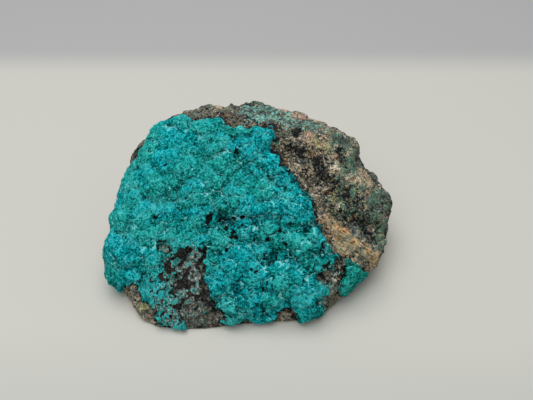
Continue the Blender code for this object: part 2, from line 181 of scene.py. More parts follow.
# Regions of the rock with a mix of their own: how far each reaches, its mix, and the places it is round.
REGIONS = [
    (3.6, {"tan": 36, "orange": 20, "brown": 26, "moss": 6, "black": 6, "slate": 6},
     [(26.0, -14.0, 26.8), (30.3, -17.6, 24.6), (35.2, -20.2, 21.6), (40.6, -20.8, 17.4),
      (44.6, -19.5, 13.2), (28.5, -20.0, 23.0), (31.7, -22.0, 21.0), (36.8, -23.5, 17.2),
      (42.0, -23.0, 11.0)]),
    (2.6, {"orange": 66, "moss": 12, "tan": 14, "brown": 8},
     [(27.2, -15.4, 26.6), (28.6, -17.6, 25.2), (29.4, -19.8, 23.4)]),
    (1.3, {"slate": 46, "brown": 30, "black": 24},
     [(32.4, -16.6, 25.0), (34.6, -17.9, 23.2), (36.3, -18.9, 21.5), (38.1, -19.8, 19.9)]),
    (1.8, {"tan": 40, "orange": 26, "brown": 34},
     [(28.0, -19.4, 24.0), (29.5, -21.5, 22.2), (30.8, -23.4, 20.2)]),
    (3.4, {"brown": 40, "cream": 9, "tan": 19, "slate": 18, "black": 14},
     [(17.5, 0.5, 37.2), (19.5, -3.5, 34.0), (22.0, -8.0, 31.0), (24.0, -11.0, 29.0)]),
    # The hollow to the right of the crust is darker: black mineral, and painted shade in the hollow.
    (5.5, {"black": 68, "slate": 12, "brown": 5, "tan": 6, "cream": 6, "moss": 3},
     [(20.9, 5.1, 40.4), (25.9, 1.7, 36.6), (24.2, -3.0, 31.7), (29.3, -2.1, 33.1), (32.5, -6.7, 30.5),
      (28.8, -11.8, 28.3), (18.0, 6.0, 40.5)]),
    (1.9, {"cream": 34, "tan": 30, "moss": 22, "slate": 14}, [(30.4, 2.1, 36.3), (31.5, 0.0, 34.8)]),
    # The hollow above the ledge is darker: black mineral, and painted shade in the hollow.
    (4.2, {"black": 62, "slate": 14, "green": 12, "moss": 6, "tan": 6},
     [(34.5, -12.7, 26.0), (38.0, -12.0, 23.5), (41.0, -13.0, 19.5), (45.0, -13.0, 15.0)]),
    (5.5, {"green": 38, "slate": 16, "black": 20, "tan": 10, "pink": 8, "moss": 8},
     [(43.7, -4.4, 23.7), (45.4, -8.0, 20.0), (46.6, -1.8, 23.8), (47.0, -12.0, 14.0), (46.0, -4.0, 12.0)]),
    (3.6, {"pink": 40, "tan": 28, "green": 16, "slate": 8, "black": 8},
     [(38.0, -0.9, 32.1), (42.0, 0.2, 29.0), (39.8, -3.0, 29.5)]),
    (4.2, {"pink": 20, "tan": 18, "slate": 18, "black": 22, "orange": 10, "moss": 12},
     [(19.6, 9.9, 41.6), (22.8, 11.2, 42.3), (26.2, 9.4, 41.5)]),
    (3.4, {"moss": 34, "orange": 22, "tan": 24, "black": 12, "slate": 8},
     [(27.9, 7.0, 40.0), (26.2, 5.4, 39.0)]),
    (4.6, {"slate": 24, "green": 34, "tan": 16, "orange": 8, "black": 18},
     [(32.0, 8.0, 39.0), (35.0, 5.0, 35.0)]),
    (6.0, {"teal": 46, "slate": 22, "green": 12, "pink": 10, "black": 6, "tan": 4},
     [(0.1, 23.3, 44.6), (7.3, 25.1, 42.6), (14.7, 26.0, 39.4), (20.8, 18.2, 42.5), (4.0, 19.0, 45.0)]),
    (4.0, {"pink": 54, "orange": 16, "tan": 22, "slate": 8},
     [(18.6, 29.6, 38.7), (13.0, 31.0, 38.0), (23.0, 26.0, 38.0)]),
    (6.0, {"brown": 40, "tan": 20, "black": 16, "slate": 24},
     [(-22.8, 20.5, 45.2), (-17.6, 21.5, 45.0), (-12.3, 21.7, 44.8)]),
    (3.6, {"black": 58, "brown": 22, "pink": 14, "slate": 6},
     [(-8.5, 17.9, 44.8), (-5.0, 17.1, 43.7), (2.0, 15.0, 44.5), (7.0, 13.0, 44.0)]),
    (5.0, {"black": 42, "slate": 32, "green": 10, "teal": 16},
     [(-20.3, -23.3, 16.4), (-17.5, -27.5, 13.7), (-14.1, -31.2, 10.6), (-17.5, -24.8, 15.6)]),
    (5.0, {"slate": 54, "brown": 18, "black": 22, "teal": 6},
     [(-19.1, -35.2, 5.2), (-10.9, -36.4, 4.1), (-15.7, -37.9, 3.4), (-13.0, -35.0, 6.0)]),
    (2.0, {"black": 72, "cream": 16, "slate": 12},
     [(32.2, -26.2, 16.9), (31.0, -25.6, 18.0), (31.3, -28.6, 14.2)]),
    (6.0, {"tan": 34, "brown": 36, "cream": 8, "slate": 14, "black": 8},
     [(-37.8, -31.3, 5.5), (-34.1, -34.5, 4.3), (-38.6, -27.8, 8.9), (-42.0, -27.0, 6.0)]),
    (1.8, {"moss": 60, "orange": 25, "tan": 15}, [(-33.6, -33.6, 5.5)]),
    (4.0, {"tan": 36, "brown": 36, "slate": 12, "black": 16}, [(12.1, -36.0, 4.6)]),
    (2.4, {"slate": 6, "cream": 46, "black": 28, "teal": 20},
     [(30.2, -27.4, 16.0), (29.0, -28.2, 15.2), (27.4, -30.2, 12.6), (30.2, -29.6, 13.3)]),
    (1.7, {"black": 94, "slate": 6}, [(17.0, 13.2, 42.6)]),
    (1.9, {"black": 70, "brown": 10, "tan": 14, "slate": 6},
     [(14.1, 8.2, 40.7), (18.5, 7.4, 41.3), (21.6, 7.4, 41.2), (24.3, 6.0, 40.6), (25.9, 3.8, 39.7),
      (25.6, 2.6, 38.1), (19.5, 3.3, 38.4), (20.9, 1.8, 36.1), (16.0, 5.5, 40.0)]),
    (1.0, {"pink": 60, "orange": 40}, [(22.2, 4.7, 40.3), (21.2, 3.8, 39.3)]),
    (1.6, {"moss": 60, "orange": 20, "tan": 20}, [(26.1, 6.8, 40.5), (24.0, 7.3, 40.9)]),
    (1.7, {"pink": 40, "tan": 30, "brown": 18, "orange": 12}, [(21.6, 9.6, 41.8), (20.4, 10.9, 42.1)]),
    (1.8, {"cream": 44, "tan": 30, "slate": 26}, [(28.0, 3.6, 38.6), (29.4, 1.5, 35.9)]),
    (2.0, {"black": 54, "slate": 32, "cream": 14}, [(23.5, 1.1, 36.7), (24.2, -0.6, 34.1)]),
    (1.7, {"black": 86, "brown": 14}, [(32.6, 3.8, 36.7), (31.2, 6.0, 39.3), (31.0, -1.6, 33.6)]),
    (3.4, {"green": 38, "black": 28, "slate": 14, "tan": 14, "orange": 6},
     [(36.4, 10.2, 36.6), (34.6, 1.2, 34.9), (33.4, -1.6, 33.7), (35.0, -3.0, 32.0)]),
    (2.4, {"orange": 28, "pink": 38, "tan": 24, "green": 10},
     [(39.0, 1.9, 32.9), (40.8, 0.1, 30.0), (36.9, -2.0, 32.2)]),
    (2.3, {"black": 70, "green": 16, "moss": 10, "slate": 4},
     [(32.8, -6.4, 30.7), (36.4, -4.8, 30.5), (30.5, -12.0, 28.0), (40.3, -8.9, 24.2), (33.8, -12.7, 26.9),
      (32.3, -9.2, 29.1)]),
    (2.0, {"moss": 32, "cream": 20, "black": 34, "green": 14},
     [(29.0, -8.6, 29.0), (28.5, -6.8, 29.6), (29.2, -11.2, 28.6)]),
    (1.3, {"cream": 32, "tan": 38, "slate": 30},
     [(14.1, 3.3, 37.5), (15.4, -0.3, 36.0), (17.4, -2.5, 33.5), (19.3, -5.6, 31.8), (21.5, -5.3, 29.6),
      (24.1, -8.9, 27.0)]),
    (2.2, {"black": 58, "slate": 8, "cream": 18, "tan": 16},
     [(17.5, 1.2, 34.9), (20.3, 0.1, 33.1), (22.9, -1.3, 32.5), (25.9, -4.5, 30.7)]),
    (4.0, {"brown": 30, "green": 28, "black": 30, "tan": 12}, [(28.1, -31.6, 6.9), (30.0, -29.0, 3.0)]),
    (4.0, {"black": 42, "brown": 26, "slate": 32},
     [(-41.3, 11.6, 32.4), (-39.0, 17.0, 36.0), (-48.5, -13.0, 16.0), (-47.0, -4.0, 24.0)]),
]
SHARE_SCALE = 0.115  # turns the offset of a mineral's share into one of its speckles' noise
# The ledge of orange and tan fibres: place, radius, strength.
LEDGE = [
    ((26.8, -14.3, 26.9), 2.4, 0.4), ((29.0, -17.0, 25.2), 2.9, 0.4), ((31.0, -19.3, 23.4), 3.2, 0.9),
    ((34.2, -21.0, 21.0), 3.3, 1.0), ((38.0, -21.9, 18.0), 3.4, 1.0), ((42.5, -21.0, 14.5), 3.4, 0.8),
    ((30.0, -22.4, 21.2), 2.6, 0.8),
]
LEDGE_RUN = (0.78, -0.26, -0.57)  # the way its fibres run
DOWNHILL = np.array([0.0, -0.72, -0.69])  # down the crusted face
# Where the rock is smoother: place, reach, strength.
SMOOTHER = [
    ((-3.0, 22.0, 45.5), 6.0, 1.0), ((3.0, 24.0, 44.0), 6.0, 1.0), ((9.0, 25.0, 42.0), 6.0, 1.0),
    ((15.0, 26.0, 39.5), 6.0, 1.0), ((20.8, 19.0, 42.3), 5.0, 0.8),
]
# The rock's own lumps, and below them its hollows: place, radius, height or depth.
ROCK_RELIEF = [
    ((25.5, -13.1, 27.2), 2.6, 0.5), ((28.0, -15.2, 26.2), 2.6, 0.7), ((30.3, -17.0, 25.0), 3.0, 0.4),
    ((32.8, -18.4, 23.6), 2.6, 0.7), ((35.2, -19.6, 22.1), 3.0, 0.4), ((38.0, -20.0, 20.0), 2.4, 0.7),
    ((40.6, -20.2, 17.9), 3.0, 0.8), ((43.0, -20.0, 15.5), 3.0, 0.6), ((30.9, 1.0, 35.5), 2.6, 1.0),
    ((17.6, 9.9, 41.1), 3.0, 0.4), ((24.5, 9.5, 41.8), 3.5, 0.6), ((39.0, -1.5, 31.0), 3.2, 0.6),
    ((-41.3, 11.6, 32.4), 5.0, 1.0), ((-39.0, 14.5, 36.0), 4.0, 1.0),
]
ROCK_HOLLOWS = [
    ((20.9, 5.1, 40.4), 2.6, 0.8), ((25.9, 1.7, 36.6), 2.4, 0.7), ((24.2, -3.0, 31.7), 3.4, 1.0),
    ((28.6, -5.0, 31.0), 3.4, 1.0), ((32.5, -6.7, 30.5), 3.0, 0.8), ((28.8, -11.0, 28.3), 2.6, 0.8),
    ((33.8, -12.7, 26.5), 2.8, 1.0), ((37.5, -12.5, 23.5), 2.8, 1.0), ((41.0, -12.8, 19.0), 2.8, 0.9),
]


# The studio, in metres.
# The floor's colours in front, in the middle and far behind, where it is grey with painted shade.
FLOOR_FRONT, FLOOR_MIDDLE, FLOOR_BACK = (0.60, 0.600, 0.562), (0.655, 0.648, 0.598), (0.482, 0.484, 0.484)
WORLD_LIGHT = 0.30
CAMERA_RISE, CAMERA_VIEW = radians(42), radians(50)  # how high it stands and how wide it sees
CAMERA_DISTANCE, CAMERA_AIM = 0.200, Vector((0.00606, -0.00206, 0.024))


def smooth_step(t):
    t = np.clip(t, 0, 1)
    return t * t * (3 - 2 * t)


def wander(points, size, seed):
    """Smooth noise from -1 to 1, its lumps about this size across."""
    cell = np.floor(points / size).astype(np.int64)
    t = points / size - cell
    t = t * t * (3 - 2 * t)
    total = np.zeros(len(points))
    for corner in np.ndindex(2, 2, 2):
        key = ((cell + corner) * (73856093, 19349663, 83492791)).sum(1) + seed * 40503
        key = (key ^ (key >> 13)) * 1274126177 & 0x7FFFFFFF
        key = (key ^ (key >> 16)) & 0xFFFF
        weight = np.prod(np.where(corner, t, 1 - t), axis=1)
        total += weight * (key / 32767.5 - 1)
    return total


def drift(points, size, seed):
    """A smooth shift in x, y and z at each point, each from -1 to 1."""
    return np.stack([wander(points, size, seed + k) for k in range(3)], 1)


def read(items, name, width):
    """A property of many mesh items as an array, one row an item."""
    values = np.empty(len(items) * width, np.float32)
    items.foreach_get(name, values)
    return values.reshape(-1, width).astype(float)


class Surface:
    """A mesh's points and normals as arrays, in millimetres."""

    def __init__(self, mesh):
        self.mesh = mesh
        self.points = read(mesh.vertices, "co", 3) / MM
        edges = np.empty(len(mesh.edges) * 2, np.int32)
        mesh.edges.foreach_get("vertices", edges)
        self.edges = edges.reshape(-1, 2)
        self.normals = read(mesh.vertex_normals, "vector", 3)

    def move(self, points):
        self.points = points
        self.mesh.vertices.foreach_set("co", (points * MM).astype(np.float32).ravel())
        self.mesh.update()
        self.normals = read(self.mesh.vertex_normals, "vector", 3)

    def spread(self, values, times):
        """Blur a value over each point's neighbours."""
        a, b = self.edges.T
        count = np.bincount(self.edges.ravel(), minlength=len(self.points)) + 1
        for _ in range(times):
            total = values + np.bincount(a, values[b], len(values)) + np.bincount(b, values[a], len(values))
            values = total / count
        return values

    def bend(self, times):
        """How far each point stands out from its blurred surroundings."""
        blurred = np.stack([self.spread(self.points[:, k], times) for k in range(3)], 1)
        return ((self.points - blurred) * self.normals).sum(1)

    def paint(self, **layers):
        for name, values in layers.items():
            attribute = self.mesh.attributes.new(name, "FLOAT", "POINT")
            attribute.data.foreach_set("value", values.astype(np.float32))


def tree_of(node):
    """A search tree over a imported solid, in millimetres."""
    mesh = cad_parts[node].data
    mesh.calc_loop_triangles()
    points = [Vector(p) for p in read(mesh.vertices, "co", 3) / MM]
    return BVHTree.FromPolygons(points, [tuple(t.vertices) for t in mesh.loop_triangles])


def closest(tree, points):
    """The nearest place on a solid to each point, that solid's normal there and the distance."""
    found = [tree.find_nearest(Vector(p)) for p in points]
    return (np.array([f[0] for f in found]), np.array([f[1] for f in found]), np.array([f[3] for f in found]))


def remeshed(node, voxel, smoothing):
    """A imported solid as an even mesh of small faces, with its flat facets smoothed into each other."""
    obj = bpy.data.objects.new("work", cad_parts[node].data.copy())
    bpy.context.scene.collection.objects.link(obj)
    remesh = obj.modifiers.new("Remesh", "REMESH")
    remesh.mode = "VOXEL"
    remesh.voxel_size = voxel * MM
    smooth = obj.modifiers.new("Smooth", "SMOOTH")
    smooth.factor, smooth.iterations = 0.5, smoothing
    return take_mesh(obj)


def take_mesh(obj):
    """The mesh that an object's modifiers make; the object goes."""
    mesh = bpy.data.meshes.new_from_object(obj.evaluated_get(bpy.context.evaluated_depsgraph_get()))
    used = obj.data
    bpy.data.objects.remove(obj)
    bpy.data.meshes.remove(used)
    return mesh


def decimated(mesh, ratio, only=None):
    """The mesh with this share of its faces left; with some points given, faces go only round those."""
    obj = bpy.data.objects.new("work", mesh)
    bpy.context.scene.collection.objects.link(obj)
    decimate = obj.modifiers.new("Decimate", "DECIMATE")
    decimate.ratio = ratio
    if only is not None:
        group = obj.vertex_groups.new(name="thinned")
        group.add([int(i) for i in only], 1.0, "REPLACE")
        decimate.vertex_group = "thinned"
    return take_mesh(obj)


def thinned(mesh, hidden):
    """The same mesh with few faces where the hidden points are, and no more in all than a piece may have."""
    mesh = decimated(mesh, 1 - (1 - HIDDEN_SHARE) * hidden.mean(), np.flatnonzero(hidden))
    mesh.calc_loop_triangles()
    count = len(mesh.loop_triangles)
    return decimated(mesh, MOST_TRIANGLES / count) if count > MOST_TRIANGLES else mesh


def scatter(points, spacing, seed):
    """Some of these points, no two nearer than the spacing."""
    order = np.random.default_rng(seed).permutation(len(points))
    cells = np.floor(points / spacing).astype(int)
    around = [(x, y, z) for x in (-1, 0, 1) for y in (-1, 0, 1) for z in (-1, 0, 1)]
    boxes, kept = {}, []
    for i in order:
        x, y, z = cells[i].tolist()
        p = points[i]
        near = [j for dx, dy, dz in around for j in boxes.get((x + dx, y + dy, z + dz), ())]
        if not near or ((points[near] - p) ** 2).sum(1).min() > spacing**2:
            kept.append(i)
            boxes.setdefault((x, y, z), []).append(i)
    return points[kept]


def nearest(points, centres, count):
    """For each point, its nearest centres and how far they are."""
    tree = KDTree(len(centres))
    for i, centre in enumerate(centres):
        tree.insert(centre, i)
    tree.balance()
    found = [tree.find_n(p, count) for p in points]
    index = np.array([[f[1] for f in row] for row in found])
    distance = np.array([[f[2] for f in row] for row in found])
    return index, distance


def granules(points, centres, radius, uneven, seed):
    """Rounded grains about these centres.

    Gives the height at each point, its grain, and how deep in a crease between grains it is.
    """
    rng = np.random.default_rng(seed)
    size = radius * rng.uniform(1 - uneven, 1 + uneven, len(centres))
    lift = rng.uniform(-uneven, uneven, len(centres))
    index, distance = nearest(points, centres, 4)
    height = 1 + lift[index] - (distance / size[index]) ** 2
    order = np.argsort(-height, axis=1)
    best = np.take_along_axis(height, order[:, :2], 1)
    grain = np.take_along_axis(index, order[:, :1], 1)[:, 0]
    crease = 1 - np.clip((best[:, 0] - best[:, 1]) / 0.35, 0, 1)
    return np.clip(best[:, 0], -0.6, 1.5), grain, crease


def shingles(points, centres, radius):
    """Overlapping scales, each rising to a lip on its downhill side.

    Gives the height at each point, its scale, how far down that scale it is (-1 to 1), and two thin lines
    where scales meet: along the upper rim of each and along the lower lip of each.
    """
    index, distance = nearest(points, centres, 3)
    away = distance / radius[index]
    order = np.argsort(away, axis=1)
    best, second = np.take_along_axis(away, order[:, :2], 1).T
    scale = np.take_along_axis(index, order[:, :1], 1)[:, 0]
    run = np.clip(((points - centres[scale]) * DOWNHILL).sum(1) / radius[scale], -1, 1)
    border = smooth_step(1 - (second - best) * radius[scale] / BORDER)
    rim, lip = border * smooth_step(-2.5 * run), border * smooth_step(2.5 * run)
    return 0.5 - 0.5 * best**2 + 0.55 * run, scale, run, rim, lip


def spots(points, places):
    """How far each point is into some round spots: 0 outside them, their strength in the middle."""
    total = np.zeros(len(points))
    for place, radius, strength in places:
        away = np.linalg.norm(points - place, axis=1) / radius
        total = np.maximum(total, strength * smooth_step(1.35 - away))
    return total


def settled(points, places):
    """The same spots, each moved to the nearest of the points."""
    return [(points[((points - spot[0]) ** 2).sum(1).argmin()], *spot[1:]) for spot in places]


def worn_pattern(points, wear):
    """Where the crust is worn: how black each point is, and how much pale crust is left on it."""
    black = wander(points, 1.4, WORN_SEED) + 0.9 * wander(points, 0.8, WORN_SEED + 1)
    black += 1.5 * spots(points, BLACK_SPOTS)
    pale = wander(points, 1.2, WORN_SEED + 2) - 0.9 * smooth_step((8 - points[:, 2]) / 4)
    pale = pale + 0.9 * wander(points, 0.7, WORN_SEED + 3) - 0.2
    return smooth_step((black + 0.6 * wear - 0.64) / 0.2), smooth_step((pale - 0.02) / 0.3)


def trim_crust(surface, rock_normal, distance, facing, wear, thickness, seed):
    """Thin the crust, bite its edge and let it wander. Gives how far in from the edge each point is."""
    points = surface.points
    outer = facing > 0
    # The underside and the foot of the rim sink into the rock, so that no gap shows.
    sink = smooth_step((1.0 - distance) / 0.7) * 0.65 + (1 - thickness) * distance * outer
    # Round the worn places the crust thins out to nothing.
    sink += wear * np.clip(distance - 0.9, 0, None) * 0.75 * outer
    # Bites out of its edge show the rock.
    rim = points[(np.abs(facing) < 0.5) & (distance < 0.8)]
    inward = nearest(points, rim, 1)[1][:, 0]
    bite = 0.15 + wander(points, 2.3, seed + 30) + 0.9 * wander(points, 1.2, seed + 31)
    bite += 2.2 * spots(points, BITES)
    bite = smooth_step((1.1 * bite - inward + 0.4) / 0.6) * (facing > -0.2)
    sink = np.maximum(sink, bite * (distance + 0.35))
    points = points - rock_normal * sink[:, None]
    # The edge wanders from side to side, along the rock.
    ragged = drift(points, 2.8, seed + 1) + 0.6 * drift(points, 1.4, seed + 4)
    ragged -= rock_normal * (ragged * rock_normal).sum(1)[:, None]
    surface.move(points + ragged)
    return inward


def crust_relief(surface, faces, seed):
    """How far the crust rises at each point, and the layers that come with its lobes and grains."""
    points = surface.points
    warp = drift(points, 1.7, seed + 7) + 0.5 * drift(points, 0.8, seed + 47)
    fill = scatter(faces, LOBE_SPACING, seed + 10)
    named = np.array([place for place, _ in LOBES])
    fill = fill[[np.linalg.norm(named - place, axis=1).min() > NAMED_LOBE_ROOM for place in fill]]
    sizes = np.concatenate([[radius for _, radius in LOBES], np.full(len(fill), LOBE_RADIUS)])
    lobes, lobe, lobe_run, lobe_rim, lobe_lip = shingles(points + warp, np.concatenate([named, fill]), sizes)
    lobes = surface.spread(lobes, 3)
    places = scatter(faces, SCALE_SPACING, seed + 11)
    sizes = np.random.default_rng(seed + 12).uniform(*SCALE_RADII, len(places))
    scales, _, scale_run, scale_rim, scale_lip = shingles(points + warp * 0.8, places, sizes)
    scales = surface.spread(scales, 1)
    places = scatter(faces, LUMP_SPACING, seed + 13)
    lumps, lump, lump_crease = granules(points + warp * 0.5, places, LUMP_RADIUS, 0.35, seed + 14)
    places = scatter(faces, GRAIN_SPACING, seed + 15)
    grains, grain, grain_crease = granules(points + warp * 0.3, places, GRAIN_RADIUS, 0.3, seed + 16)
    # The relief is coarser in some places, and more so to the right and down the face.
    coarse = 0.5 + 0.5 * wander(points, 8.0, seed + 18)
    coarse = smooth_step(coarse + 0.3 * np.tanh((points[:, 0] - points[:, 1] - 10) / 20))
    rise = (0.5 + 0.9 * coarse) * (lobes - 0.3) + (0.24 + 0.35 * coarse) * (scales - 0.3)
    fine = 0.14 * wander(points, 0.5, seed + 17)
    rise += LUMP_HEIGHT * (lumps - 0.4) + GRAIN_HEIGHT * (grains - 0.4) + fine
    rise += 0.12 * wander(points, 1.1, seed + 19)

    rng = np.random.default_rng(seed + 20)
    tone = 0.45 * rng.uniform(0, 1, grain.max() + 1)[grain] + 0.55 * rng.uniform(0, 1, lump.max() + 1)[lump]
    hue = rng.uniform(0, 1, lobe.max() + 1)[lobe]
    # Among these layers are painted light and shade: darker in the creases between grains, under each lip and
    # on the lower side of each lobe; lighter on the upper side of each lobe and along its upper rim.
    layers = {
        "tone": surface.spread(tone, 1) + 0.5 * spots(points, BRIGHTER),
        "hue": surface.spread(hue, 3),
        "crease": surface.spread(np.maximum(0.75 * grain_crease, lump_crease), 1),
        "top_light": surface.spread(0.5 - 0.3 * lobe_run - 0.2 * scale_run, 2),
        "frost_and_highlight": np.maximum(lobe_rim, scale_rim) * (0.7 + 0.3 * coarse),
        "shade": np.maximum(lobe_lip, 0.8 * scale_lip) * (0.35 + 0.65 * coarse),
    }
    return rise, layers


def make_crust(name, node, material, seed, thickness=1.0, relief=1.0):
    """Dress one crust's solid, with shares of the solid's thickness and of the usual relief."""
    surface = Surface(remeshed(node, CRUST_VOXEL, CRUST_SMOOTHING))
    _, rock_normal, distance = closest(ROCK, surface.points)
    facing = (surface.normals * rock_normal).sum(1)
    open_face = smooth_step((distance - 0.2) / 0.5)
    wear = np.clip(spots(surface.points, WORN), 0, 1)
    inward = trim_crust(surface, rock_normal, distance, facing, wear, thickness, seed)

    points = surface.points
    rise, layers = crust_relief(surface, points[open_face > 0.3], seed)
    rise *= np.where(rise < 0, 0.6, 1.0) * relief
    # The painted highlight on upper rims and the painted shade under lips grow with the relief.
    layers["frost_and_highlight"] *= relief
    layers["shade"] *= relief
    ragged = points + 0.4 * drift(points, 0.9, seed + 24)
    pits = settled(points, PITS)
    deep = np.maximum(spots(ragged, pits), spots(ragged, settled(points, HOLLOWS)))
    pit = spots(ragged, [(place, radius, 1) for place, radius, _ in pits])
    black, pale = worn_pattern(points, wear)
    black *= wear > 0.02
    rise *= 1 - 0.5 * wear
    rise -= 0.15 * black + deep
    rise = np.maximum(rise, 0.45 - distance)
    surface.move(points + surface.normals * (rise * open_face)[:, None])

    # Painted light and shade follow the relief: crests lighter, and hollows and folds darker.
    ridge = surface.bend(9)
    ridge = np.clip(0.5 + 0.22 * ridge / ridge[open_face > 0.5].std(), 0, 1)
    fold = surface.bend(45)
    fold = np.clip(-fold / fold[open_face > 0.5].std() - 0.2, 0, 1.6) / 1.6
    surface.paint(
        **layers,
        height=surface.spread(np.clip(0.5 + rise * 0.55, 0, 1), 1),
        pit=surface.spread(pit, 1),
        ridge=ridge,
        fold=fold,
        powder=spots(points, POWDER),
        pepper=spots(points, PEPPER),
        edge=smooth_step((1.4 - inward) / 0.9) * open_face,
        wear=wear,
        black=surface.spread(black, 1),
        pale=surface.spread(pale, 1),
    )
    hidden = surface.spread(((distance < 0.6) & (facing < 0)).astype(float), 3) > 0.999
    add_piece(name, thinned(surface.mesh, hidden), node, material)


def add_piece(name, mesh, node, material):
    mesh.name = name
    mesh.materials.clear()
    mesh.materials.append(material)
    mesh.shade_smooth()
    obj = bpy.data.objects.new(name, mesh)
    bpy.context.scene.collection.objects.link(obj)
    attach(obj, "root")
    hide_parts(node)


def mineral_shares(points, crust_distance, seed):
    """How much of each mineral the rock holds at each point, by the region it is in, with black painted round
    the crusts as shade.
    """
    names = list(MINERALS)
    mix = np.array([[COMMON.get(name, 0) for name in names]] * len(points), float)
    for k, name in enumerate(names):
        mix[:, k] *= np.exp(1.2 * wander(points, 9.0, seed + k) + 1.5 * wander(points, 4.0, seed + 20 + k))
    mix /= mix.sum(1, keepdims=True)
    for reach, shares, places in REGIONS:
        away = np.min([np.linalg.norm(points - place, axis=1) for place in places], axis=0)
        share = np.exp(-((away / reach) ** 2))[:, None] * 0.95
        own = np.array([shares.get(name, 0) for name in names], float)
        mix = mix * (1 - share) + own / own.sum() * share
    # Round the crusts the rock is painted black as shade below the crusts' raised edges, but less so on the
    # ledge.
    edge = smooth_step(1.9 + 0.9 * wander(points, 2.0, seed + 19) - crust_distance)[:, None] * 0.85
    edge *= 1 - 0.85 * np.clip(2 * spots(points, LEDGE), 0, 1)[:, None]
    edge_shade = np.array([{"black": 0.85, "brown": 0.15}.get(name, 0) for name in names])
    return mix * (1 - edge) + edge_shade * edge


def cover(shares):
    """Each mineral's share of the area that the ones above it leave, as an offset for speckles of noise."""
    above = 1 - np.cumsum(shares[:, ::-1], axis=1)[:, ::-1] + shares
    part = np.clip(shares / np.clip(above, 0.02, None), 0.004, 0.97)
    return np.log(part / (1 - part)) / 1.7


def broken_grains(points, centres, step, tilt, seed):
    """Flat-topped grains, each with its own height and slant: the height at each point, and its grain."""
    rng = np.random.default_rng(seed)
    grain = nearest(points, centres, 1)[0][:, 0]
    lift = rng.uniform(-step, step, len(centres))
    slant = rng.normal(0, tilt, (len(centres), 3))
    height = lift[grain] + (slant[grain] * (points - centres[grain])).sum(1)
    return height, grain


def round_crusts(surface):
    """Which points of the rock the crusts cover, and how far each point is from the nearest crust."""
    points = surface.points
    covered = np.zeros(len(points), bool)
    crust_distance = np.full(len(points), np.inf)
    for tree in CRUSTS:
        _, _, distance = closest(tree, points)
        crust_distance = np.minimum(crust_distance, distance)
        for i in np.flatnonzero(distance < 1.0):
            if tree.ray_cast(Vector(points[i]), Vector(surface.normals[i]), 8.0)[0] is not None:
                covered[i] = True
    return covered, crust_distance


def make_rock(name, node, material, seed):
    """Dress the rock's solid with broken grains, and give each point its mix of minerals."""
    surface = Surface(remeshed(node, ROCK_VOXEL, ROCK_SMOOTHING))
    points = surface.points
    covered, crust_distance = round_crusts(surface)
    bare = 1 - surface.spread(covered.astype(float), 2)
    bare *= smooth_step((points[:, 2] - 0.1) / 1.6)

    jitter = drift(points, 1.6, seed + 1) * 0.55
    heights, grains = [], []
    for k, (spacing, stray, step, tilt) in enumerate(ROCK_GRAINS):
        centres = scatter(points[bare > 0.2], spacing, seed + 10 + k)
        height, grain = broken_grains(points + jitter * stray, centres, step, tilt, seed + 13 + k)
        heights.append(height)
        grains.append((grain, len(centres)))
    rough = 0.45 * wander(points, 5.0, seed + 16) + 0.25 * wander(points, 2.4, seed + 17)
    rough += 0.1 * wander(points, 0.9, seed + 18)
    rough += spots(points + jitter, ROCK_RELIEF) - spots(points + jitter, ROCK_HOLLOWS)
    wear = spots(points, WORN)
    black, pale = worn_pattern(points, wear)
    rise = surface.spread(sum(heights) + rough, 1) * (1 - 0.4 * wear)
    rise += wear * (0.3 * pale + 0.15 * black - 0.15)

    # Single grains lean towards one mineral or another, less so where the rock is smoother.
    names = list(MINERALS)
    shares = mineral_shares(points, crust_distance, seed + 40)
    rng = np.random.default_rng(seed + 80)
    (middle, middle_count), (fine, fine_count) = grains[1:]
    lean = rng.gamma(0.6, 1.0, (middle_count, len(names)))[middle]
    lean = lean + 0.7 * rng.gamma(0.6, 1.0, (fine_count, len(names)))[fine]
    tone = rng.uniform(0, 1, fine_count)[fine]
    smoother = spots(points, SMOOTHER)[:, None]
    shares = shares * (0.25 + lean * (1 - 0.75 * smoother) + 0.6 * smoother)
    shares /= shares.sum(1, keepdims=True)
    offsets = cover(shares)

    rise -= 0.22 * surface.spread(shares[:, names.index("black")], 1)
    rise *= 1 - 0.45 * smoother[:, 0]
    # On sharp crests the relief fades and spikes are taken back; nothing goes below the flat underside.
    rise *= 1 - 0.9 * smooth_step((surface.bend(10) - 0.08) / 0.3)
    surface.move(points + surface.normals * (rise * bare)[:, None])
    spikes = np.clip(surface.bend(6) - 0.3, 0, None) * bare
    moved = surface.points - surface.normals * spikes[:, None]
    moved[:, 2] = np.maximum(moved[:, 2], 0)
    surface.move(moved)
    surface.paint(
        tone=surface.spread(tone, 1),
        height=surface.spread(np.clip(0.5 + rise * 0.6, 0, 1), 1),
        wear=wear,
        worn_black=surface.spread(black, 1),
        worn_pale=surface.spread(pale, 1),
        ledge=spots(points + jitter, LEDGE),
        film=spots(points + jitter, FILM),
        **{name: surface.spread(offsets[:, k], 1) for k, name in enumerate(names)},
    )
    under = (points[:, 2] < 0.2) & (surface.normals[:, 2] < -0.9)
    hidden = surface.spread((covered | under).astype(float), 4) > 0.999
    add_piece(name, thinned(surface.mesh, hidden), node, material)


